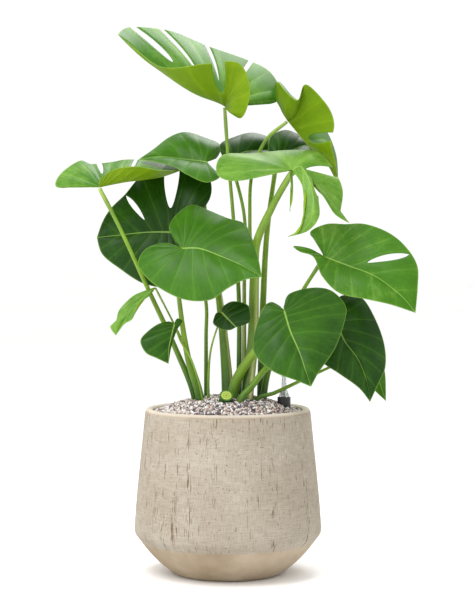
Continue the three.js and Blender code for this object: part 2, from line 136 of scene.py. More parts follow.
def set_share(piece, name, values):
    """Stores one number per point, for a material to read."""
    attribute = piece.data.attributes.new(name, "FLOAT", "POINT")
    attribute.data.foreach_set("value", np.asarray(values, dtype=np.float32).ravel())


# %% [markdown]
# ## The camera and the light
#
# The plant is seen from the front, from three metres away, with the eye a
# little above the middle of its leaves. A long lens keeps the planter's sides
# from flaring. The light is a soft studio: a big box above and in front at the
# left, another above and a little behind, a weaker one low at the left, and a
# white room around.

# %% Camera, lights and floor
EYE = (0.0175, -3.0, 0.580)
TILT_DOWN = 0.02785
FLOOR_HALF = 60
scene = bpy.context.scene
camera = bpy.data.objects.new("camera", bpy.data.cameras.new("camera"))
scene.collection.objects.link(camera)
camera.location = EYE
camera.rotation_euler = (math.pi / 2 - TILT_DOWN, 0, 0)
camera.data.sensor_fit = "HORIZONTAL"
camera.data.sensor_width = 36
camera.data.lens = 125
scene.camera = camera
scene.view_settings.view_transform = "Standard"


def soft_box(name, place, target, size, power):
    """A round area light of some size in metres and power in watts."""
    light = bpy.data.objects.new(name, bpy.data.lights.new(name, "AREA"))
    scene.collection.objects.link(light)
    light.location = place
    light.rotation_euler = (Vector(target) - Vector(place)).to_track_quat("-Z", "Y").to_euler()
    light.data.shape = "DISK"
    light.data.size = size
    light.data.energy = power
    return light


soft_box("key", (-0.9, -1.3, 2.4), (0, 0, 0.55), 1.4, 42)
soft_box("back", (0.5, 1.3, 2.2), (0, 0, 0.65), 1.4, 26)
soft_box("fill", (-2.2, -1.8, 0.8), (0, 0, 0.4), 1.6, 14)

world = bpy.data.worlds.new("white room")
scene.world = world
world.use_nodes = True
world.node_tree.nodes["Background"].inputs["Color"].default_value = (1, 1, 1, 1)
world.node_tree.nodes["Background"].inputs["Strength"].default_value = 1.03

floor_material, tree, shader = new_material("white_floor")
paper = add_node(tree, "ShaderNodeTexNoise", Scale=40.0, Detail=4.0)
floor_colour = ramp(tree, paper.outputs["Fac"], [(0.3, "#fafaf9"), (0.7, "#fefefe")])
tree.links.new(floor_colour, shader.inputs["Base Color"])
shader.inputs["Roughness"].default_value = 0.9
floor_mesh = bpy.data.meshes.new("floor")
floor_corners = [(x * FLOOR_HALF, y * FLOOR_HALF, 0) for x, y in ((-1, -1), (1, -1), (1, 1), (-1, 1))]
floor_mesh.from_pydata(floor_corners, [], [(0, 1, 2, 3)])
floor_mesh.materials.append(floor_material)
floor = bpy.data.objects.new("floor", floor_mesh)
scene.collection.objects.link(floor)
print("camera, three soft lights and the floor")

# %% [markdown]
# ## How a leaf blade is drawn
#
# A blade is a thin skin between its midrib and its margins. The table holds,
# for each blade in millimetres, the point where the stalk joins it, the tip,
# and the few points that the midrib and the left and right margins pass
# through. Straight lines, the rulings, run from the midrib to the margin: the
# larger `vein` is, the more of them start at the stalk. They are also the way
# that the side veins run. A slot is [side, place on the margin, half gap,
# from, to]. These are the same curves as the frame's own.

# %% The blades
BLADES = {
    "top": {
        "at": [-5, 30, 850], "tip": [-200, 10, 980], "up": [0.45, -0.05, 0.9],
        "rib": [[-50, 25, 880], [-125, 20, 915]],
        "left": [[25, -25, 825], [40, -75, 870], [20, -95, 915], [-35, -90, 915],
            [-115, -30, 915], [-165, 0, 950]],
        "right": [[35, 60, 860], [80, 85, 860], [100, 110, 880], [80, 140, 925], [35, 150, 950],
            [-40, 140, 975], [-110, 115, 1000], [-180, 65, 1000]],
        "vein": 7, "bulge": [-10, 10],
        "slots": [[1, 0.53, 0.025, 0.42, 1], [-1, 0.54, 0.009, 0.4, 1], [-1, 0.667, 0.007, 0.34, 1],
            [-1, 0.8, 0.007, 0.3, 1], [-1, 0.88, 0.012, 0.36, 1]],
    },
    "upper_right": {
        "at": [110, 40, 825], "tip": [200, -10, 705], "up": [0.62, -0.1, 0.75],
        "rib": [[150, 20, 775], [180, 5, 745]],
        "left": [[85, 95, 880], [95, 115, 905], [120, 125, 880], [145, 125, 860],
            [180, 105, 820], [200, 60, 765]],
        "right": [[90, 10, 860], [90, -15, 890], [105, -40, 870], [125, -45, 855], [135, -55, 880],
            [150, -60, 875], [180, -60, 840], [190, -55, 810], [185, -45, 780], [195, -25, 740]],
        "vein": 6, "bulge": [8, -8],
        "slots": [[-1, 0.79, 0.02, 0.3, 1]],
    },
    "far_left": {
        "at": [-230, -40, 700], "tip": [-85, 40, 735], "up": [-0.1, 0, 0.99],
        "rib": [[-185, -20, 710], [-125, 15, 720]],
        "left": [[-265, -50, 700], [-305, -60, 700], [-300, -30, 725], [-270, 10, 750],
            [-250, 25, 745], [-215, 50, 750], [-190, 60, 755], [-160, 75, 755], [-115, 80, 750]],
        "right": [[-225, -60, 715], [-200, -75, 730], [-160, -75, 735], [-120, -40, 730]],
        "vein": 4, "bulge": [4, -4],
        "slots": [[1, 0.54, 0.012, 0.45, 1], [1, 0.767, 0.01, 0.5, 1]],
    },
    "back_left": {
        "at": [-40, 50, 750], "tip": [-165, 50, 755], "up": [0, -0.45, 0.88],
        "rib": [[-75, 65, 755], [-125, 60, 760]],
        "left": [[-25, 30, 735], [-15, 10, 720], [-40, -10, 710], [-75, -5, 725], [-100, 15, 740],
            [-135, 40, 750]],
        "right": [[-20, 75, 760], [-15, 100, 785], [-45, 115, 800], [-80, 115, 810],
            [-110, 105, 800], [-140, 80, 775]],
        "vein": 3, "bulge": [6, 10],
    },
    "fingered": {
        "at": [115, -50, 730], "tip": [105, -130, 610], "up": [0.1, -0.35, 0.93],
        "rib": [[130, -80, 735], [145, -100, 705], [150, -115, 670], [140, -125, 630]],
        "left": [[70, -65, 720], [10, -65, 710], [-20, -40, 725], [-10, 5, 760], [45, 30, 765],
            [110, 20, 770], [160, -10, 765], [185, -35, 740], [205, -55, 695], [200, -70, 645],
            [215, -85, 635], [190, -90, 650], [170, -95, 680], [160, -105, 680], [160, -120, 645],
            [140, -125, 620]],
        "right": [[110, -70, 720], [115, -90, 680], [110, -100, 655], [135, -105, 690],
            [135, -120, 655], [125, -130, 620]],
        "vein": 5, "bulge": [6, 3],
        "slots": [[-1, 0.5, 0.07, 0.2, 1], [1, 0.49, 0.012, 0.3, 1], [1, 0.618, 0.03, 0.28, 1],
            [1, 0.794, 0.03, 0.3, 1]],
    },
    "left_round": {
        "at": [-100, 20, 620], "tip": [-240, 20, 610], "up": [-0.05, -0.93, 0.35],
        "rib": [[-145, 20, 620], [-195, 20, 615]],
        "left": [[-75, 15, 605], [-45, 5, 585], [-45, 5, 545], [-90, 0, 520], [-150, 0, 525],
            [-200, 10, 555], [-230, 15, 580]],
        "right": [[-75, 25, 640], [-40, 35, 670], [-30, 45, 700], [-40, 55, 730], [-75, 65, 740],
            [-115, 65, 740], [-160, 60, 725], [-190, 45, 690], [-215, 40, 665], [-230, 30, 640]],
        "vein": 4, "bulge": [6, 6],
        "slots": [[-1, 0.52, 0.03, 0.35, 1], [-1, 0.727, 0.013, 0.3, 0.95]],
    },
    "front_heart": {
        "at": [-80, -70, 590], "tip": [60, -120, 540], "up": [-0.05, -0.8, 0.6],
        "rib": [[-50, -75, 590], [-10, -85, 575], [25, -100, 560]],
        "left": [[-95, -55, 605], [-105, -35, 630], [-90, -5, 655], [-65, 10, 670], [-35, 10, 660],
            [0, -15, 645], [30, -15, 635], [45, -50, 605], [55, -90, 570]],
        "right": [[-110, -60, 600], [-145, -55, 590], [-160, -60, 565], [-150, -75, 545],
            [-120, -95, 520], [-75, -110, 500], [-30, -120, 500], [0, -125, 520], [30, -120, 535]],
        "vein": 4, "bulge": [8, 8],
    },
    "right_wide": {
        "at": [175, 0, 575], "tip": [335, -60, 475], "up": [0.3, -0.6, 0.75],
        "rib": [[215, -20, 560], [265, -40, 540], [310, -55, 505]],
        "left": [[165, 5, 600], [150, 10, 620], [180, 20, 635], [215, 20, 635], [250, 10, 635],
            [290, -5, 620], [320, -20, 595], [340, -40, 560], [340, -50, 520]],
        "right": [[150, 5, 590], [120, 5, 595], [130, -5, 585], [155, -15, 575], [170, -30, 540],
            [200, -45, 510], [245, -60, 500], [290, -65, 490]],
        "vein": 4, "bulge": [8, 8],
        "slots": [[1, 0.745, 0.02, 0.25, 0.95]],
    },
    "right_heart": {
        "at": [100, -90, 480], "tip": [145, -145, 350], "up": [0.05, -0.9, 0.4],
        "rib": [[110, -105, 445], [125, -120, 410], [135, -135, 380]],
        "left": [[100, -85, 490], [110, -75, 510], [150, -55, 520], [185, -45, 515], [210, -45, 490],
            [210, -60, 465], [190, -100, 415], [160, -130, 375]],
        "right": [[90, -85, 490], [75, -85, 495], [60, -90, 480], [45, -100, 430], [50, -110, 400],
            [80, -130, 375], [120, -140, 360]],
        "vein": 4, "bulge": [8, 8],
    },
    "right_back": {
        "at": [195, -10, 465], "tip": [255, -50, 315], "up": [0.1, -0.93, 0.3],
        "rib": [[210, -20, 425], [235, -30, 390], [250, -40, 350]],
        "left": [[195, 0, 490], [210, 10, 505], [245, 15, 500], [270, 10, 460], [285, 0, 415],
            [285, -20, 375], [270, -40, 345]],
        "right": [[180, -5, 475], [160, -10, 460], [150, -15, 430], [165, -30, 390], [200, -40, 365],
            [235, -45, 340]],
        "vein": 4, "bulge": [8, 8],
    },
    "right_hidden": {
        "at": [255, 45, 400], "tip": [290, 20, 310], "up": [0.3, -0.9, 0.2],
        "rib": [[270, 40, 370], [280, 30, 340]],
        "left": [[265, 50, 410], [280, 45, 395], [290, 40, 360]],
        "right": [[245, 40, 390], [250, 35, 365], [265, 30, 335]],
        "vein": 3, "bulge": [3, 3],
    },
    "left_curled": {
        "at": [-130, -50, 520], "tip": [-200, -60, 435], "up": [-0.6, -0.35, 0.7],
        "rib": [[-155, -50, 500], [-180, -55, 470]],
        "left": [[-140, -55, 505], [-160, -65, 490], [-170, -70, 465], [-185, -65, 455]],
        "right": [[-145, -45, 515], [-170, -35, 505], [-195, -35, 480], [-200, -50, 460],
            [-210, -55, 450]],
        "vein": 3, "bulge": [4, 4],
    },
    "left_small": {
        "at": [-95, -60, 455], "tip": [-105, -75, 385], "up": [-0.2, -0.85, 0.4],
        "rib": [[-100, -65, 435], [-105, -70, 410]],
        "left": [[-90, -55, 465], [-80, -55, 460], [-90, -55, 445], [-100, -65, 415]],
        "right": [[-105, -60, 460], [-125, -70, 455], [-145, -75, 440], [-155, -75, 425],
            [-145, -80, 405], [-125, -80, 395]],
        "vein": 3, "bulge": [3, 5],
    },
    "centre_small": {
        "at": [-10, -60, 475], "tip": [15, -70, 450], "up": [-0.1, -0.9, 0.45],
        "rib": [[0, -65, 465], [10, -70, 455]],
        "left": [[-10, -60, 485], [5, -60, 495], [20, -60, 495], [35, -65, 490], [40, -70, 480],
            [40, -75, 460]],
        "right": [[-20, -55, 475], [-25, -60, 465], [-25, -65, 455], [-10, -65, 445], [5, -70, 445]],
        "vein": 3, "bulge": [4, 3],
    },
    "back_right": {
        "at": [90, 80, 755], "tip": [175, 135, 775], "up": [-0.05, -0.5, 0.86],
        "rib": [[110, 100, 770], [145, 125, 785]],
        "left": [[75, 85, 770], [80, 110, 800], [105, 130, 815], [130, 145, 810], [155, 150, 795]],
        "right": [[110, 65, 745], [135, 75, 750], [155, 100, 760]],
        "vein": 3, "bulge": [8, 8],
    },
    "back_centre": {
        "at": [5, 55, 755], "tip": [100, 120, 775], "up": [-0.05, -0.45, 0.88],
        "rib": [[30, 75, 770], [65, 100, 775]],
        "left": [[-10, 60, 760], [-15, 85, 785], [10, 110, 800], [45, 130, 810], [80, 135, 800]],
        "right": [[25, 45, 745], [55, 50, 745], [80, 80, 760]],
        "vein": 3, "bulge": [8, 8],
    },
}

# %% [markdown]
# ## The rulings
#
# The curves are Catmull-Rom splines, which pass through every point they are
# given. The functions take whole arrays, so one call makes a blade half.


# %% Curves and rulings
def curve_at(points, share):
    """Points of the smooth curve through points, at shares of their count."""
    points = np.asarray(points, float)
    last = len(points) - 1
    x = np.clip(share, 0, 1) * last
    i = np.minimum(np.floor(x), last - 1).astype(int)
    f = (x - i)[..., None]
    a, b, c, d = (points[np.clip(i + k, 0, last)] for k in (-1, 0, 1, 2))
    rise = (c - a) * f + (2 * a - 5 * b + 4 * c - d) * f**2 + (3 * b - 3 * c + d - a) * f**3
    return 0.5 * (2 * b + rise)


def unit(vectors):
    """Vectors at length one."""
    return vectors / np.maximum(np.linalg.norm(vectors, axis=-1, keepdims=True), 1e-9)


SETTLED_START = 0.25
SWELL_WIDTH = 70
SWELL_RISE = 6
MARGIN_STEP = 0.02
HOLE_BLUNTNESS = 0.6
SLOT_FLARE = 1.4
SLOT_SHIFT_REACH = 4


def blade_points(blade, side, s, t):
    """Points of one blade half: s along the margin, t from midrib to margin."""
    margin = [blade["at"], *blade["left" if side > 0 else "right"], blade["tip"]]
    rim = curve_at(margin, s)
    rib = curve_at([blade["at"], *blade["rib"], blade["tip"]], np.clip(s, 0, 1) ** blade["vein"])
    along = unit(curve_at(margin, s + MARGIN_STEP) - curve_at(margin, s - MARGIN_STEP))
    across = rim - rib
    square = np.cross(along, across) * side
    width = np.linalg.norm(square, axis=-1)
    settle = np.clip(1 - s / SETTLED_START, 0, 1)[..., None]
    face = unit(unit(square) * (1 - settle) + unit(np.array(blade["up"])) * settle)
    ends = np.minimum.reduce([np.ones_like(s), SWELL_RISE * s, SWELL_RISE * (1 - s), width / SWELL_WIDTH])
    swell = blade["bulge"][0 if side > 0 else 1] * ends * np.sin(math.pi * t)
    return rib + across * t[..., None] + face * swell[..., None]


def beside_slots(blade, side, s, t):
    """Moves places on the margin away from the slots of their side."""
    moved = s.copy()
    for slot_side, at, gap, start, end in blade.get("slots", []):
        if slot_side != side:
            continue
        tau = np.clip((t - start) / (end - start), 0, 1)
        if end < 1:
            opened = np.sin(math.pi * tau) ** HOLE_BLUNTNESS
        else:
            opened = np.sqrt(tau) * (1 + SLOT_FLARE * (1 - tau))
        away = s - at
        fades = np.maximum(0, 1 - np.abs(away) / (SLOT_SHIFT_REACH * gap))
        moved += np.sign(away) * gap * opened * fades
    return moved


# %% [markdown]
# ## The skin of a blade
#
# A monstera blade isn't flat between its side veins: the veins on the upper
# side lie in shallow grooves and the skin between them swells, like a quilt.
# That is shape, so it is made in the mesh. Columns of points crowd towards
# each side vein so that the vein stays a crisp line, and each point keeps how
# much vein, midrib or margin it is, for the colours.

# %% Blade meshes
VEIN_STEPS = [0, 0.045, 0.1, 0.2, 0.35, 0.5, 0.65, 0.8, 0.9, 0.955]
ROWS = [0, 0.008, 0.02, 0.035, 0.06, *np.linspace(0.1, 0.94, 19), 0.965, 0.98, 0.99, 1]
SLOT_ROUNDING = [0, 0.004, 0.015, 0.035]
SHARES = ["vein", "rib", "edge", "along", "across", "crest"]
SKIN = 0.8
QUILT = 1.0
VEIN_WIDTH = 1.0
RIB_WIDTH = 1.3
EDGE_WIDTH = 1.3
AHEAD = 0.004
ASIDE = 0.01
NEAR_SLOT = 0.004
SLOT_SPLIT = 1e-6
SEW_DISTANCE = 0.00004


def blade_columns(blade, side, veins):
    """Places on the margin, crowded at the side veins, split at the slots."""
    places = [(k + step) / veins for k in range(veins) for step in VEIN_STEPS] + [1.0]
    cuts = sorted(slot[1] for slot in blade.get("slots", []) if slot[0] == side)
    others = [slot[1] for slot in blade.get("slots", []) if slot[0] != side]
    for at in cuts + others:
        places = [s for s in places if abs(s - at) > NEAR_SLOT]
    places = sorted(places + others)
    panels = []
    edges = [0.0, *cuts, 1.0]
    for first, last in zip(edges, edges[1:]):
        inside = [s for s in places if first < s < last]
        start = [0.0] if first == 0 else [first + SLOT_SPLIT]
        end = [1.0] if last == 1 else [last - SLOT_SPLIT]
        panels.append(np.array(start + inside + end))
    return panels


def blade_rows(blade):
    """Places from midrib to margin, crowded where a slot begins."""
    rows = set(ROWS)
    for slot in blade.get("slots", []):
        rows.update(slot[3] + step for step in SLOT_ROUNDING)
    return np.array(sorted(row for row in rows if row <= 1))


def panel_shape(blade, side, panel, rows, veins):
    """The points of one panel between two slots, and its shares for the colours."""
    s, t = np.meshgrid(panel, rows, indexing="ij")
    place = beside_slots(blade, side, s, t)
    here = blade_points(blade, side, place, t)
    ahead = blade_points(blade, side, np.clip(place + AHEAD, 0, 1), t)
    behind = blade_points(blade, side, np.clip(place - AHEAD, 0, 1), t)
    outer = blade_points(blade, side, place, np.clip(t + ASIDE, 0, 1))
    inner = blade_points(blade, side, place, np.clip(t - ASIDE, 0, 1))
    face = unit(np.cross(ahead - behind, outer - inner) * side)
    spacing = np.linalg.norm(ahead - behind, axis=-1) / (2 * AHEAD) / veins
    reach = np.linalg.norm(outer - inner, axis=-1) / (2 * ASIDE)
    phase = np.abs(place * veins - np.round(place * veins))
    width = VEIN_WIDTH * (1 - 0.55 * t) / np.maximum(spacing, 1)
    vein = np.clip(1.6 - phase / np.clip(width, 0.03, 0.1), 0, 1)
    rib = np.clip(1.5 - reach * t / (RIB_WIDTH * (1.15 - 0.6 * s ** blade["vein"])), 0, 1)
    edge = np.clip(1.5 - reach * (1 - t) / EDGE_WIDTH, 0, 1)
    crest = np.sin(math.pi * np.clip(phase * 2, 0, 1) / 2) ** 0.8
    calm = np.clip(spacing / 12, 0, 1) * np.clip(t * 5, 0, 1) * np.clip((1 - t) * 6, 0, 1)
    lift = QUILT * (crest - 0.6) * calm * np.clip(10 * (1 - s), 0, 1)
    points = here + face * lift[..., None]
    shares = np.stack([vein, rib, edge, s, t, crest], -1)
    return points.reshape(-1, 3), shares.reshape(-1, len(SHARES))


def panel_faces(base, columns, rows, side):
    """The four-sided faces of a grid of points that starts at number base."""
    corners = [base + i * rows + j for i in range(columns - 1) for j in range(rows - 1)]
    quads = [(a, a + rows, a + rows + 1, a + 1) for a in corners]
    return quads if side > 0 else [quad[::-1] for quad in quads]


def sew(mesh, distance):
    """Joins points that lie closer than a distance in metres."""
    work = bmesh.new()
    work.from_mesh(mesh)
    bmesh.ops.remove_doubles(work, verts=work.verts, dist=distance)
    work.to_mesh(mesh)
    work.free()


def blade_mesh(name, blade, veins, tone):
    """One blade as a quilted sheet, with a thickness added by a modifier."""
    rows = blade_rows(blade)
    points, faces, shares = [], [], []
    for side in (1, -1):
        for panel in blade_columns(blade, side, veins):
            base = sum(len(p) for p in points)
            new_points, new_shares = panel_shape(blade, side, panel, rows, veins)
            points.append(new_points)
            shares.append(new_shares)
            faces += panel_faces(base, len(panel), len(rows), side)
    points = np.concatenate(points)
    shares = np.concatenate(shares)
    piece = new_piece("blade_" + name, points, faces, [upper_side, under_side], ["leaf_" + name])
    for k, share in enumerate(SHARES):
        set_share(piece, share, shares[:, k])
    # each blade's tone number: its age, and painted shade for blades that lie in the shade
    set_share(piece, "tone", np.full(len(points), tone))
    sew(piece.data, SEW_DISTANCE)
    thick = piece.modifiers.new("skin", "SOLIDIFY")
    thick.thickness = SKIN * MM
    thick.offset = -1
    thick.material_offset = 1
    thick.use_quality_normals = True
    return piece


# %% [markdown]
# ## Leaf skin
#
# The upper side of a grown blade is dark to mid green with a thin, waxy
# cuticle, so it has a soft, broad gloss that turns the green greyer where the
# sky is mirrored in it; the lightest green of its colour ramp is greyed as
# well, a painted sheen. Its midrib and side veins are pale yellow-green, and
# a fine pale line runs round the margin. Younger blades are lighter and blades
# in the shade are darker, and each blade's tone number says both: it is partly
# the blade's own green and partly painted shade. The under side has no gloss to
# speak of, and the light that comes through it is painted into its colour as a
# bright yellow-green, on top of its own paler green. A leaf's IOR is
# about 1.42. Fine parallel veins lie about 1.5 mm apart between the side
# veins; they are drawn that coarse so that they show.


# %% Leaf materials
def leaf_skin(name, dark, middle, light, vein_colour, gloss, rough):
    """The skin of one side of a blade, from its darkest to its lightest green."""
    material, tree, shader = new_material(name)

    def share(attribute):
        node = add_node(tree, "ShaderNodeAttribute", {"attribute_name": attribute})
        return node.outputs["Fac"]

    place = add_node(tree, "ShaderNodeTexCoord").outputs["Object"]
    cloud = add_node(tree, "ShaderNodeTexNoise", Vector=place, Scale=14.0, Detail=4.0, Roughness=0.55)
    mottle = add_node(tree, "ShaderNodeTexNoise", Vector=place, Scale=160.0, Detail=3.0)
    way = add_node(tree, "ShaderNodeCombineXYZ", X=share("along"), Y=share("across"))
    stretched = add_node(tree, "ShaderNodeVectorMath", {"operation": "MULTIPLY"}, in0=way.outputs[0])
    stretched.inputs[1].default_value = (150, 3, 1)
    stripes = add_node(tree, "ShaderNodeTexNoise", Vector=stretched.outputs[0], Scale=1.0, Detail=2.0)

    # the tone number darkens blades in the shade: painted shade, besides the blade's own age
    depth = math_node(tree, "MULTIPLY_ADD", cloud.outputs["Fac"], 0.55)
    tree.links.new(share("tone"), depth.node.inputs[2])
    fine = math_node(tree, "MULTIPLY", mottle.outputs["Fac"], 0.16)
    lines = math_node(tree, "MULTIPLY", stripes.outputs["Fac"], 0.22)
    # painted shade: the swollen skin between the side veins is made a little darker green, on top of the
    # shading that the quilted shape gives
    swell = math_node(tree, "MULTIPLY", share("crest"), 0.08)
    amount = math_node(tree, "ADD", depth, fine)
    amount = math_node(tree, "ADD", amount, lines)
    amount = math_node(tree, "SUBTRACT", amount, swell)
    amount = math_node(tree, "SUBTRACT", amount, 0.44, clamp=True)
    green = ramp(tree, amount, [(0.0, dark), (0.5, middle), (1.0, light)])

    soft_vein = math_node(tree, "MULTIPLY", share("vein"), 0.05)
    veined = blend_colours(tree, soft_vein, green, linear(vein_colour))
    strong_rib = math_node(tree, "MULTIPLY", share("rib"), 0.55)
    ribbed = blend_colours(tree, strong_rib, veined, linear(vein_colour))
    thin_edge = math_node(tree, "MULTIPLY", share("edge"), 0.28)
    edged = blend_colours(tree, thin_edge, ribbed, linear(vein_colour))
    tree.links.new(edged, shader.inputs["Base Color"])

    worn = math_node(tree, "MULTIPLY_ADD", mottle.outputs["Fac"], 0.18)
    worn.node.inputs[2].default_value = rough
    tree.links.new(worn, shader.inputs["Roughness"])
    shader.inputs["IOR"].default_value = 1.42
    shader.inputs["Specular IOR Level"].default_value = gloss

    rise = math_node(tree, "ADD", lines, fine)
    bump = add_node(tree, "ShaderNodeBump", Height=rise, Strength=0.35, Distance=0.0012)
    tree.links.new(bump.outputs["Normal"], shader.inputs["Normal"])
    return material


# painted sheen: the lightest green of the upper side is greyed to stand for the gloss on the lighter blades
upper_side = leaf_skin(
    "waxy_leaf_upper_side", "#143a00", "#3d6f0f", "#93b854", "#a0c45e", gloss=0.25, rough=0.34
)
# painted light: the under side's bright yellow-green is partly its own paler green and partly the light that
# comes through a blade, painted in, since the blade lets none through
under_side = leaf_skin(
    "leaf_under_side", "#446400", "#668602", "#94ac20", "#a9bd34", gloss=0.2, rough=0.5
)

# %% [markdown]
# ## The sixteen blades
#
# Large blades have about eleven pairs of side veins and small ones six. The
# tone number goes from 0, an old dark blade in the shade, to 1, a young light
# one: it is the blade's own green and painted shade together.

# %% Make the blades
# tone numbers per blade: age and painted shade; the lowest ones are blades in the shade
VEINS_AGE_AND_PAINTED_SHADE = {
    "top": (11, 0.55),
    "upper_right": (10, 0.45),
    "far_left": (10, 0.55),
    "back_left": (8, 0.42),
    "fingered": (12, 0.68),
    "left_round": (11, 0.05),
    "front_heart": (11, 0.37),
    "right_wide": (11, 0.52),
    "right_heart": (11, 0.21),
    "right_back": (10, 0.1),
    "right_hidden": (6, 0.4),
    "left_curled": (6, 0.62),
    "left_small": (7, 0.14),
    "centre_small": (6, -0.1),
    "back_right": (7, 0.15),
    "back_centre": (7, 0.1),
}
leaf_points = 0
for blade_name, (vein_count, blade_tone) in VEINS_AGE_AND_PAINTED_SHADE.items():
    made = blade_mesh(blade_name, BLADES[blade_name], vein_count, blade_tone)
    leaf_points += len(made.data.vertices)
print("blades:", len(VEINS_AGE_AND_PAINTED_SHADE), "points:", leaf_points)

# %% [markdown]
# ## The stalks
#
# Each leaf stalk rises from the granulate, tapers and ends in a slightly
# swollen knee under its blade. The lower part is a sheath: its inner face is
# a channel with two thin wings, pale yellow inside, which held the next
# leaf before it unrolled. The section is drawn as a circle with a channel
# pressed into it, deep at the foot and gone at two thirds of the height. On
# four stalks the channel opens to the front, on the rest it faces away.

# %% The stalks' table
STALKS = {
    "top": {
        "foot": 6, "top": 3, "taper": 2, "from": [20, 20],
        "way": [[20, 25, 500], [10, 30, 645], [0, 35, 760]],
    },
    "upper_right": {
        "foot": 5.5, "top": 3, "taper": 2, "from": [40, 10],
        "way": [[45, 10, 500], [40, 15, 640], [45, 40, 730], [70, 45, 790]],
    },
    "far_left": {
        "foot": 7, "top": 3.4, "taper": 2, "from": [-60, -5],
        "way": [[-95, -20, 410], [-145, -30, 520], [-195, -40, 630]],
    },
    "back_left": {
        "foot": 14, "top": 3.6, "taper": 2, "from": [0, 0],
        "way": [[-5, 10, 395], [-15, 20, 490], [-30, 50, 585], [-45, 85, 680]],
    },
    "fingered": {
        "foot": 11.5, "top": 4.5, "taper": 0.7, "from": [35, -20],
        "way": [[45, -20, 425], [48, -24, 540], [52, -28, 600], [80, -38, 665]],
    },
    "left_round": {
        "foot": 4.5, "top": 3, "taper": 2, "from": [-40, 10],
        "way": [[-40, 15, 430], [-40, 15, 490], [-60, 30, 570]],
    },
    "front_heart": {
        "foot": 10, "top": 3.6, "taper": 2, "from": [-50, -20],
        "way": [[-70, -30, 385], [-85, -40, 480], [-90, -50, 550]],
    },
    "right_wide": {
        "foot": 8, "top": 3.4, "taper": 2, "from": [65, 10],
        "way": [[75, 15, 370], [105, 30, 450], [135, 15, 510]],
    },
    "right_heart": {
        "foot": 12, "top": 4, "taper": 0.8, "from": [8, -24],
        "way": [[17, -30, 355], [45, -44, 400], [80, -64, 445]],
    },
    "right_back": {
        "foot": 7, "top": 3.4, "taper": 1, "from": [22, -52],
        "way": [[45, -45, 345], [70, -35, 375], [130, 0, 420]],
    },
    "right_hidden": {
        "foot": 5, "top": 2.4, "taper": 2, "from": [50, -30],
        "way": [[85, -30, 330], [130, -20, 350], [190, 10, 375]],
    },
    "left_curled": {
        "foot": 3, "top": 1.7, "taper": 2, "from": [-45, -5],
        "way": [[-70, -10, 395], [-100, -30, 460]],
    },
    "left_small": {
        "foot": 2.6, "top": 1.6, "taper": 2, "from": [-45, -45],
        "way": [[-65, -50, 390], [-85, -45, 425]],
    },
    "centre_small": {
        "foot": 4, "top": 1.6, "taper": 2, "from": [-35, -30],
        "way": [[-35, -30, 355], [-30, -45, 410]],
    },
    "back_right": {
        "foot": 7, "top": 3.2, "taper": 0.6, "from": [60, 35],
        "way": [[65, 38, 500], [72, 45, 620]],
    },
    "back_centre": {
        "foot": 5.5, "top": 3, "taper": 2, "from": [30, 45],
        "way": [[30, 45, 515], [30, 45, 650]],
    },
}
ROOTED_AT = 248
STRAIGHT_TO = 316


# %% Stalk meshes
def curve_path(points, count):
    """Points and directions along the frame's own kind of smooth curve."""
    points = [np.array(p, float) for p in points]
    first = 2 * points[0] - points[1]
    last = 2 * points[-1] - points[-2]
    padded = [first, *points, last]
    path = []
    spans = len(points) - 1
    for x in np.linspace(0, spans, count):
        i = min(int(x), spans - 1)
        f = x - i
        a, b, c, d = padded[i : i + 4]
        ta, tb, tc = (max(np.linalg.norm(q - p), 1e-3) ** 0.5 for p, q in ((a, b), (b, c), (c, d)))
        start = ((b - a) / ta - (c - a) / (ta + tb) + (c - b) / tb) * tb
        end = ((c - b) / tb - (d - b) / (tb + tc) + (d - c) / tc) * tb
        cubic = 2 * b - 2 * c + start + end
        square = -3 * b + 3 * c - 2 * start - end
        path.append(b + start * f + square * f**2 + cubic * f**3)
    path = np.array(path)
    return path, unit(np.gradient(path, axis=0))


SECTION = 28
STATIONS = 90
KNEE_SWELL = 0.16
KNEE_AT = 0.95
KNEE_LENGTH = 0.035
CHANNEL_DEPTH = 0.34
CHANNEL_END = 0.62
CHANNEL_WIDTH = 0.5
WING_AT = 0.72
WING_HEIGHT = 0.1
AWAY_FROM_FRONT = (0.3, 1)
CHANNELS = {
    "fingered": (0.8, -1),
    "back_left": (1, -0.5),
    "back_centre": (-0.3, -1),
    "upper_right": (-0.6, -1),
}


def stalk_radius(stalk, share):
    """The radius at shares of the length, with the knee under the blade."""
    radius = stalk["top"] + (stalk["foot"] - stalk["top"]) * (1 - share) ** stalk["taper"]
    return radius + KNEE_SWELL * stalk["top"] * np.exp(-(((share - KNEE_AT) / KNEE_LENGTH) ** 2))


def stalk_ring(radius, share, angles):
    """Radii round one section and how much of it is channel."""
    deep = CHANNEL_DEPTH * np.clip(1 - share / CHANNEL_END, 0, 1) ** 0.7
    press = np.exp(-(((angles - math.pi) / CHANNEL_WIDTH) ** 2))
    wing = np.exp(-(((np.abs(angles - math.pi) - WING_AT) / 0.2) ** 2)) * (deep > 0.02)
    return radius * (1 - deep * press + WING_HEIGHT * wing), press * min(1, deep * 4)


def tube_faces(stations, section):
    """Faces of a tube of rings, closed at both ends."""
    faces = []
    for k in range(stations - 1):
        for i in range(section):
            a, b = k * section + i, k * section + (i + 1) % section
            faces.append((a, b, b + section, a + section))
    faces.append(tuple(reversed(range(section))))
    faces.append(tuple(range((stations - 1) * section, stations * section)))
    return faces


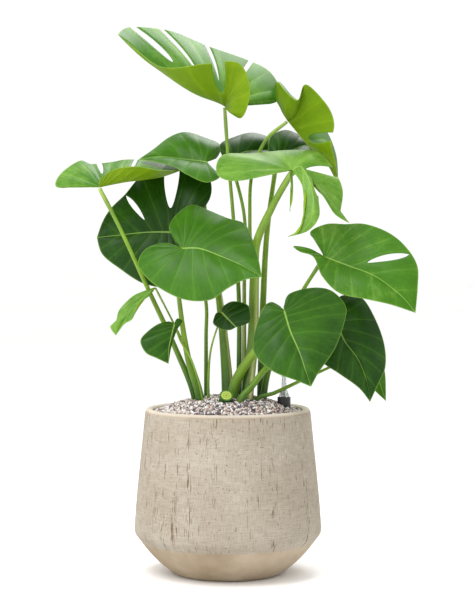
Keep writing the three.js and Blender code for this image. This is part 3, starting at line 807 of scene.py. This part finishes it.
def stalk_mesh(name, stalk, blade):
    """One stalk from the root ball to the under side of its blade."""
    way = [[*stalk["from"], ROOTED_AT], [*stalk["from"], STRAIGHT_TO], *stalk["way"]]
    end = np.array(blade["at"]) - unit(np.array(blade["up"])) * (stalk["top"] * 0.75)
    path, ahead = curve_path([*way, end], STATIONS)
    length = np.cumsum(np.r_[0, np.linalg.norm(np.diff(path, axis=0), axis=1)])
    share = length / length[-1]
    radius = stalk_radius(stalk, share)
    inside = unit(np.array([*CHANNELS.get(name, AWAY_FROM_FRONT), 0.0]))
    angles = np.linspace(0, 2 * math.pi, SECTION, endpoint=False)
    points, channels = [], []
    for k in range(STATIONS):
        side = unit(np.cross(ahead[k], inside))
        front = np.cross(side, ahead[k])
        ring, channel = stalk_ring(radius[k], share[k], angles)
        for a, r in zip(angles, ring):
            points.append(path[k] - front * (math.cos(a) * r) + side * (math.sin(a) * r))
        channels.append(channel)
    faces = tube_faces(STATIONS, SECTION)
    piece = new_piece("stem_" + name, points, faces, [stalk_skin], ["stalk_" + name])
    set_share(piece, "channel", np.concatenate(channels))
    set_share(piece, "height", np.repeat(share, SECTION))
    return piece


# %% [markdown]
# ## Stalk skin
#
# A stalk is a smooth, faintly ribbed stem, waxy but less so than a blade:
# IOR 1.42 and a roughness near 0.4. It is mid green on its way up, darker at
# the foot, yellow-green at the knee, and its channel is pale yellow. Thin
# pale streaks run along it, and small corky specks sit near the foot.

# %% Stalk material
stalk_skin, tree, shader = new_material("green_stalk_skin")
height = add_node(tree, "ShaderNodeAttribute", {"attribute_name": "height"}).outputs["Fac"]
channel = add_node(tree, "ShaderNodeAttribute", {"attribute_name": "channel"}).outputs["Fac"]
place = add_node(tree, "ShaderNodeTexCoord").outputs["Object"]
streak_way = add_node(tree, "ShaderNodeVectorMath", {"operation": "MULTIPLY"}, in0=place)
streak_way.inputs[1].default_value = (700, 700, 14)
streaks = add_node(tree, "ShaderNodeTexNoise", Vector=streak_way.outputs[0], Scale=1.0, Detail=2.0)
patches = add_node(tree, "ShaderNodeTexNoise", Vector=place, Scale=22.0, Detail=3.0)
corky = add_node(tree, "ShaderNodeTexNoise", Vector=place, Scale=420.0, Detail=1.0)
by_height = ramp(
    tree,
    height,
    [
        (0.0, "#2c560e"),
        (0.18, "#34620f"),
        (0.36, "#6b921a"),
        (0.6, "#86a822"),
        (0.9, "#7da22c"),
        (1.0, "#a8c25a"),
    ],
)
streaked = blend_colours(tree, streaks.outputs["Fac"], by_height, linear("#3f6a08"), "MIX")
patched = blend_colours(tree, 0.45, by_height, streaked)
lighter = ramp(tree, patches.outputs["Fac"], [(0.35, "#d9d9d9"), (0.7, "#ffffff")])
shaded = blend_colours(tree, 1.0, patched, lighter, "MULTIPLY")
speckled = math_node(tree, "GREATER_THAN", corky.outputs["Fac"], 0.7)
low = math_node(tree, "LESS_THAN", height, 0.22)
specks = math_node(tree, "MULTIPLY", speckled, low)
speck_share = math_node(tree, "MULTIPLY", specks, 0.45)
with_specks = blend_colours(tree, speck_share, shaded, linear("#8f8a55"))
in_channel = math_node(tree, "MULTIPLY", channel, 0.9)
skin_colour = blend_colours(tree, in_channel, with_specks, linear("#e4e69a"))
tree.links.new(skin_colour, shader.inputs["Base Color"])
shader.inputs["IOR"].default_value = 1.42
shader.inputs["Roughness"].default_value = 0.4
stalk_bump = add_node(tree, "ShaderNodeBump", Height=streaks.outputs["Fac"], Strength=0.4, Distance=0.0006)
tree.links.new(stalk_bump.outputs["Normal"], shader.inputs["Normal"])

# %% Make the stalks
for stalk_name, stalk in STALKS.items():
    stalk_mesh(stalk_name, stalk, BLADES[stalk_name])
print("stalks:", len(STALKS))

# %% [markdown]
# ## Cast stone
#
# The planter is cast from cement and ground stone in a mould: matt, warm
# grey-beige, IOR about 1.5, roughness near 0.9. Its upper part is brushed
# level before it sets, which leaves a fine linen-like weave, and trapped air
# leaves small pits that the brushing draws out into upright dashes. The bowl
# below the line at 60 mm is left smooth and is a little warmer and darker.
# The lip is rubbed round and a little paler, and the pale band painted round
# its top is partly painted highlight, where the light from above falls on the
# rounded rim. A lathe profile is right for it, since it is turned about one
# axis.

# %% Planter shape
POT_OUTER = [
    [94, 0], [104, 4], [113.5, 12], [124, 20.5], [134, 30], [143.3, 40], [151.5, 50],
    [159, 60], [164.5, 67], [168.6, 73], [170, 79], [170, 88], [167, 130], [162.3, 180],
    [156, 240], [151, 288], [149.4, 295.5], [146.5, 299.4], [143, 300],
]
POT_INNER = [
    [138.6, 298.6], [136.4, 294.5], [137.5, 280], [143.5, 220], [150, 150], [153, 100],
    [150, 82], [138, 60], [118, 40], [96, 26],
]


def turned(profile, segments):
    """A closed solid turned about the upright axis from (radius, height) points."""
    angles = np.linspace(0, 2 * math.pi, segments, endpoint=False)
    points = [[r * math.cos(a), r * math.sin(a), z] for r, z in profile for a in angles]
    return points, tube_faces(len(profile), segments)


def smooth_profile(points, steps):
    """A profile with steps points between each two given ones."""
    lifted = [[r, z, 0] for r, z in points]
    count = (len(points) - 1) * steps
    return curve_at(lifted, np.linspace(0, 1, count + 1))[:, :2].tolist()


# %% Cast stone material
cast_stone, tree, shader = new_material("brushed_cast_stone")
place = add_node(tree, "ShaderNodeTexCoord").outputs["Object"]
split = add_node(tree, "ShaderNodeSeparateXYZ", in0=place)
x, y, z = split.outputs
angle = math_node(tree, "ARCTAN2", y, x)
around = math_node(tree, "MULTIPLY", angle, 0.16)
wrap = add_node(tree, "ShaderNodeCombineXYZ", X=around, Y=z)


def wrapped_noise(scale_round, scale_up, detail=3.0, seed=0.0):
    """Noise laid round the bowl, with its own grain round and up it."""
    stretched = add_node(tree, "ShaderNodeVectorMath", {"operation": "MULTIPLY_ADD"}, in0=wrap.outputs[0])
    stretched.inputs[1].default_value = (scale_round, scale_up, 1)
    stretched.inputs[2].default_value = (seed, seed, seed)
    noise = add_node(tree, "ShaderNodeTexNoise", Vector=stretched.outputs[0], Scale=1.0, Detail=detail)
    return noise.outputs["Fac"]


upright_brush = wrapped_noise(650, 60, seed=3.1)
level_brush = wrapped_noise(60, 650, seed=8.7)
patchy = add_node(tree, "ShaderNodeTexNoise", Vector=place, Scale=9.0, Detail=5.0, Roughness=0.6)
patch = patchy.outputs["Fac"]
grain = add_node(tree, "ShaderNodeTexNoise", Vector=place, Scale=900.0, Detail=2.0).outputs["Fac"]
dash_noise = wrapped_noise(520, 38, detail=2.0, seed=21.7)
dash_rows = wrapped_noise(130, 3, detail=0.0, seed=5.3)
dash_level = math_node(tree, "MULTIPLY_ADD", dash_rows, 0.42)
tree.links.new(dash_noise, dash_level.node.inputs[2])
pit_noise = add_node(tree, "ShaderNodeTexNoise", Vector=place, Scale=330.0, Detail=1.0).outputs["Fac"]
dashes = add_node(tree, "ShaderNodeMapRange", Value=dash_level, in1=0.895, in2=0.91).outputs[0]
pits = add_node(tree, "ShaderNodeMapRange", Value=pit_noise, in1=0.705, in2=0.73).outputs[0]
upper_part = add_node(tree, "ShaderNodeMapRange", Value=z, in1=0.0585, in2=0.0615).outputs[0]
below_lip = add_node(tree, "ShaderNodeMapRange", Value=z, in1=0.296, in2=0.292).outputs[0]
brushed_part = math_node(tree, "MULTIPLY", upper_part, below_lip)

weave = math_node(tree, "ADD", upright_brush, level_brush)
weave = math_node(tree, "MULTIPLY", weave, 0.5)
woven = ramp(tree, weave, [(0.36, "#9a9182"), (0.5, "#a89f91"), (0.64, "#b3aa9d")])
smooth_colour = ramp(tree, patch, [(0.3, "#9f8e76"), (0.7, "#b5a691")])
body = blend_colours(tree, brushed_part, smooth_colour, woven)
clouded = ramp(tree, patch, [(0.3, "#e3dfd8"), (0.7, "#ffffff")])
body = blend_colours(tree, 1.0, body, clouded, "MULTIPLY")
marks = math_node(tree, "MAXIMUM", dashes, pits)
marks = math_node(tree, "MULTIPLY", marks, brushed_part)
marks = math_node(tree, "MULTIPLY", marks, 0.8)
body = blend_colours(tree, marks, body, linear("#644a30"))
# painted highlight: a pale band round the top of the lip, partly the lip's paler stone and partly the
# highlight on the rounded rim
lip = add_node(tree, "ShaderNodeMapRange", Value=z, in1=0.2945, in2=0.2975).outputs[0]
pale_lip_and_highlight = math_node(tree, "MULTIPLY", lip, 0.6)
body = blend_colours(tree, pale_lip_and_highlight, body, linear("#cdc6ba"))
tree.links.new(body, shader.inputs["Base Color"])
shader.inputs["Roughness"].default_value = 0.9
shader.inputs["IOR"].default_value = 1.5
shader.inputs["Specular IOR Level"].default_value = 0.35
relief = math_node(tree, "MULTIPLY", weave, brushed_part)
sunk = math_node(tree, "MULTIPLY", marks, 2.2)
relief = math_node(tree, "SUBTRACT", relief, sunk)
grit = math_node(tree, "MULTIPLY", grain, 0.25)
relief = math_node(tree, "ADD", relief, grit)
stone_bump = add_node(tree, "ShaderNodeBump", Height=relief, Strength=0.6, Distance=0.001)
tree.links.new(stone_bump.outputs["Normal"], shader.inputs["Normal"])

# %% Make the planter
profile = smooth_profile(POT_OUTER, 4) + smooth_profile(POT_INNER, 3)
pot_points, pot_faces = turned(profile, 256)
pot = new_piece("planter_shell", pot_points, pot_faces, [cast_stone], ["planter"])
print("planter:", len(pot_points), "points")

# %% [markdown]
# ## Granulate
#
# The root ball is covered with a mineral mix: crushed lava and dark slate,
# white pumice and pale pink zeolite, in angular grains of 3 to 7 mm. They are
# scattered over the frame's heap one by one, because at this size each grain
# still shows its own edge. All are one mesh, with a number per grain that
# picks its stone.


# %% Scatter the grains
FILL_SKIRT = 135.6
FILL_EDGE_Z = 291
FILL_CROWN = 30
GRAINS = 5200


def heap_height(x, y):
    """The height of the frame's domed heap."""
    return FILL_EDGE_Z + FILL_CROWN * (1 - (x**2 + y**2) / FILL_SKIRT**2)


GOLDEN = (1 + 5**0.5) / 2
ICOSAHEDRON = [
    (-1, GOLDEN, 0), (1, GOLDEN, 0), (-1, -GOLDEN, 0), (1, -GOLDEN, 0),
    (0, -1, GOLDEN), (0, 1, GOLDEN), (0, -1, -GOLDEN), (0, 1, -GOLDEN),
    (GOLDEN, 0, -1), (GOLDEN, 0, 1), (-GOLDEN, 0, -1), (-GOLDEN, 0, 1),
]
ICO_FACES = [
    (0, 11, 5), (0, 5, 1), (0, 1, 7), (0, 7, 10), (0, 10, 11), (1, 5, 9), (5, 11, 4),
    (11, 10, 2), (10, 7, 6), (7, 1, 8), (3, 9, 4), (3, 4, 2), (3, 2, 6), (3, 6, 8),
    (3, 8, 9), (4, 9, 5), (2, 4, 11), (6, 2, 10), (8, 6, 7), (9, 8, 1),
]
STUMP_SPOT = ((-3, -53), 14)
GAUGE_SPOT = ((102, -10), 13)
CORNERS = unit(np.array(ICOSAHEDRON, float))
SPOTS = [(stalk["from"], stalk["foot"]) for stalk in STALKS.values()] + [STUMP_SPOT, GAUGE_SPOT]
rng = np.random.default_rng(7)


def is_taken(x, y, size):
    """Whether a stalk, the stump or the gauge stands there already."""
    return any(math.hypot(x - sx, y - sy) < reach + size * 0.6 for (sx, sy), reach in SPOTS)


def grain_at(x, y, size):
    """The corners and faces of one angular grain on the heap."""
    spin, _ = np.linalg.qr(rng.normal(size=(3, 3)))
    shape = CORNERS * rng.uniform(0.75, 1.25, (12, 1)) * size * rng.uniform(0.7, 1.2, 3)
    centre = np.array([x, y, heap_height(x, y) + rng.uniform(-0.6, 1.6)])
    mirrored = np.linalg.det(spin) < 0
    faces = [face[::-1] if mirrored else face for face in ICO_FACES]
    return shape @ spin + centre, faces


grain_points, grain_faces, grain_kinds = [], [], []
while len(grain_points) < GRAINS:
    r = (FILL_SKIRT - 1.5) * math.sqrt(rng.random())
    a = 2 * math.pi * rng.random()
    gx, gy = r * math.cos(a), r * math.sin(a)
    size = rng.uniform(1.5, 3.3)
    if is_taken(gx, gy, size):
        continue
    start = len(grain_points) * len(CORNERS)
    grain_corners, faces = grain_at(gx, gy, size)
    grain_points.append(grain_corners)
    grain_faces += [tuple(start + c for c in face) for face in faces]
    grain_kinds += [rng.random()] * len(CORNERS)

# %% Granulate material
granules, tree, shader = new_material("crushed_mineral_mix")
kind = add_node(tree, "ShaderNodeAttribute", {"attribute_name": "kind"}).outputs["Fac"]
place = add_node(tree, "ShaderNodeTexCoord").outputs["Object"]
speck = add_node(tree, "ShaderNodeTexNoise", Vector=place, Scale=700.0, Detail=3.0).outputs["Fac"]
stones = add_node(tree, "ShaderNodeValToRGB", Fac=kind)
stones.color_ramp.interpolation = "CONSTANT"
STONES = ["#4a4148", "#6d6368", "#8d8488", "#d9d3cd", "#efebe6", "#d8bfb2", "#b9a295", "#f4f1ee"]
while len(stones.color_ramp.elements) < len(STONES):
    stones.color_ramp.elements.new(1)
for k, (element, colour) in enumerate(zip(stones.color_ramp.elements, STONES)):
    element.position = k / len(STONES)
    element.color = linear(colour)
dusty = ramp(tree, speck, [(0.3, "#d2d2d2"), (0.7, "#ffffff")])
stone_colour = blend_colours(tree, 1.0, stones.outputs["Color"], dusty, "MULTIPLY")
tree.links.new(stone_colour, shader.inputs["Base Color"])
shader.inputs["Roughness"].default_value = 0.85
stone_grit = add_node(tree, "ShaderNodeBump", Height=speck, Strength=0.5, Distance=0.0006)
tree.links.new(stone_grit.outputs["Normal"], shader.inputs["Normal"])

bed, tree, shader = new_material("granulate_bed")
place = add_node(tree, "ShaderNodeTexCoord").outputs["Object"]
cells = add_node(tree, "ShaderNodeTexVoronoi", Vector=place, Scale=230.0)
bed_colour = ramp(tree, cells.outputs["Distance"], [(0.1, "#8f8685"), (0.5, "#6a6164"), (0.9, "#3c3538")])
tree.links.new(bed_colour, shader.inputs["Base Color"])
shader.inputs["Roughness"].default_value = 0.95
grains = new_piece(
    "granules", np.concatenate(grain_points), grain_faces, [granules], smooth=False
)
set_share(grains, "kind", grain_kinds)
print("grains:", len(grain_points))

# %% [markdown]
# ## The soil, the stump and the gauge
#
# These keep the frame's own shapes. The root ball is dark potting soil. The
# stump is an old stalk cut off short: its cut end is dry and shows rings about
# its own axis, and its side is dark stalk skin. The gauge is a moulded black plastic collar with a
# clear window over it, in which a dark float rod rises. Moulded plastic is
# satin with a faint grain, IOR 1.49, and the clear one is polished acrylic.


# %% Materials for the frame's own pieces
def give(node_name, material):
    """Puts one material on every slot of a frame piece."""
    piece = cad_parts[node_name]
    piece.data.materials.clear()
    piece.data.materials.append(material)
    return piece


soil, tree, shader = new_material("potting_soil")
place = add_node(tree, "ShaderNodeTexCoord").outputs["Object"]
crumbs = add_node(tree, "ShaderNodeTexNoise", Vector=place, Scale=260.0, Detail=5.0)
soil_colour = ramp(tree, crumbs.outputs["Fac"], [(0.3, "#24170f"), (0.6, "#46301f"), (0.8, "#5d4633")])
tree.links.new(soil_colour, shader.inputs["Base Color"])
shader.inputs["Roughness"].default_value = 0.97

black, tree, shader = new_material("moulded_black_plastic")
place = add_node(tree, "ShaderNodeTexCoord").outputs["Object"]
pebble = add_node(tree, "ShaderNodeTexNoise", Vector=place, Scale=900.0, Detail=2.0)
black_colour = ramp(tree, pebble.outputs["Fac"], [(0.3, "#17161a"), (0.7, "#242227")])
tree.links.new(black_colour, shader.inputs["Base Color"])
shader.inputs["Roughness"].default_value = 0.38
shader.inputs["IOR"].default_value = 1.49
grainy = add_node(tree, "ShaderNodeBump", Height=pebble.outputs["Fac"], Strength=0.2, Distance=0.0003)
tree.links.new(grainy.outputs["Normal"], shader.inputs["Normal"])

clear, tree, shader = new_material("clear_acrylic")
place = add_node(tree, "ShaderNodeTexCoord").outputs["Object"]
haze = add_node(tree, "ShaderNodeTexNoise", Vector=place, Scale=300.0, Detail=2.0)
clear_rough = ramp(tree, haze.outputs["Fac"], [(0.3, "#3a3a3a"), (0.7, "#555555")])
tree.links.new(clear_rough, shader.inputs["Roughness"])
shader.inputs["Base Color"].default_value = linear("#eef1f3")
shader.inputs["IOR"].default_value = 1.49
shader.inputs["Transmission Weight"].default_value = 0.75

cut, tree, shader = new_material("dried_cut_stalk")
place = add_node(tree, "ShaderNodeTexCoord").outputs["Object"]
fibre = add_node(tree, "ShaderNodeTexNoise", Vector=place, Scale=350.0, Detail=4.0)
off_centre = add_node(tree, "ShaderNodeVectorMath", {"operation": "SUBTRACT"}, in0=place)
off_centre.inputs[1].default_value = (-0.003, -0.057, 0.324)
turned_off = add_node(tree, "ShaderNodeVectorMath", {"operation": "CROSS_PRODUCT"}, in0=off_centre.outputs[0])
turned_off.inputs[1].default_value = (0.1, -0.752, 0.652)
from_axis = add_node(tree, "ShaderNodeVectorMath", {"operation": "LENGTH"}, in0=turned_off.outputs[0])
ring_place = add_node(
    tree, "ShaderNodeMapRange", Value=from_axis.outputs["Value"], in1=0.0, in2=0.012
).outputs[0]
waver = math_node(tree, "MULTIPLY_ADD", fibre.outputs["Fac"], 0.16)
tree.links.new(ring_place, waver.node.inputs[2])
cut_colour = ramp(
    tree,
    waver,
    [
        (0.1, "#55651a"),
        (0.35, "#a3b545"),
        (0.55, "#7c9a2c"),
        (0.72, "#b4c457"),
        (0.9, "#3f6a14"),
        (1.0, "#2f5a10"),
    ],
)
tree.links.new(cut_colour, shader.inputs["Base Color"])
shader.inputs["Roughness"].default_value = 0.6

give("granulate", bed)
give("root_ball", soil)
give("gauge_collar", black)
give("gauge_shaft", black)
give("gauge_float", black)
give("gauge_window", clear)
give("cut_stalk_stump", cut)
print("frame pieces kept: granulate, root ball, gauge and stump")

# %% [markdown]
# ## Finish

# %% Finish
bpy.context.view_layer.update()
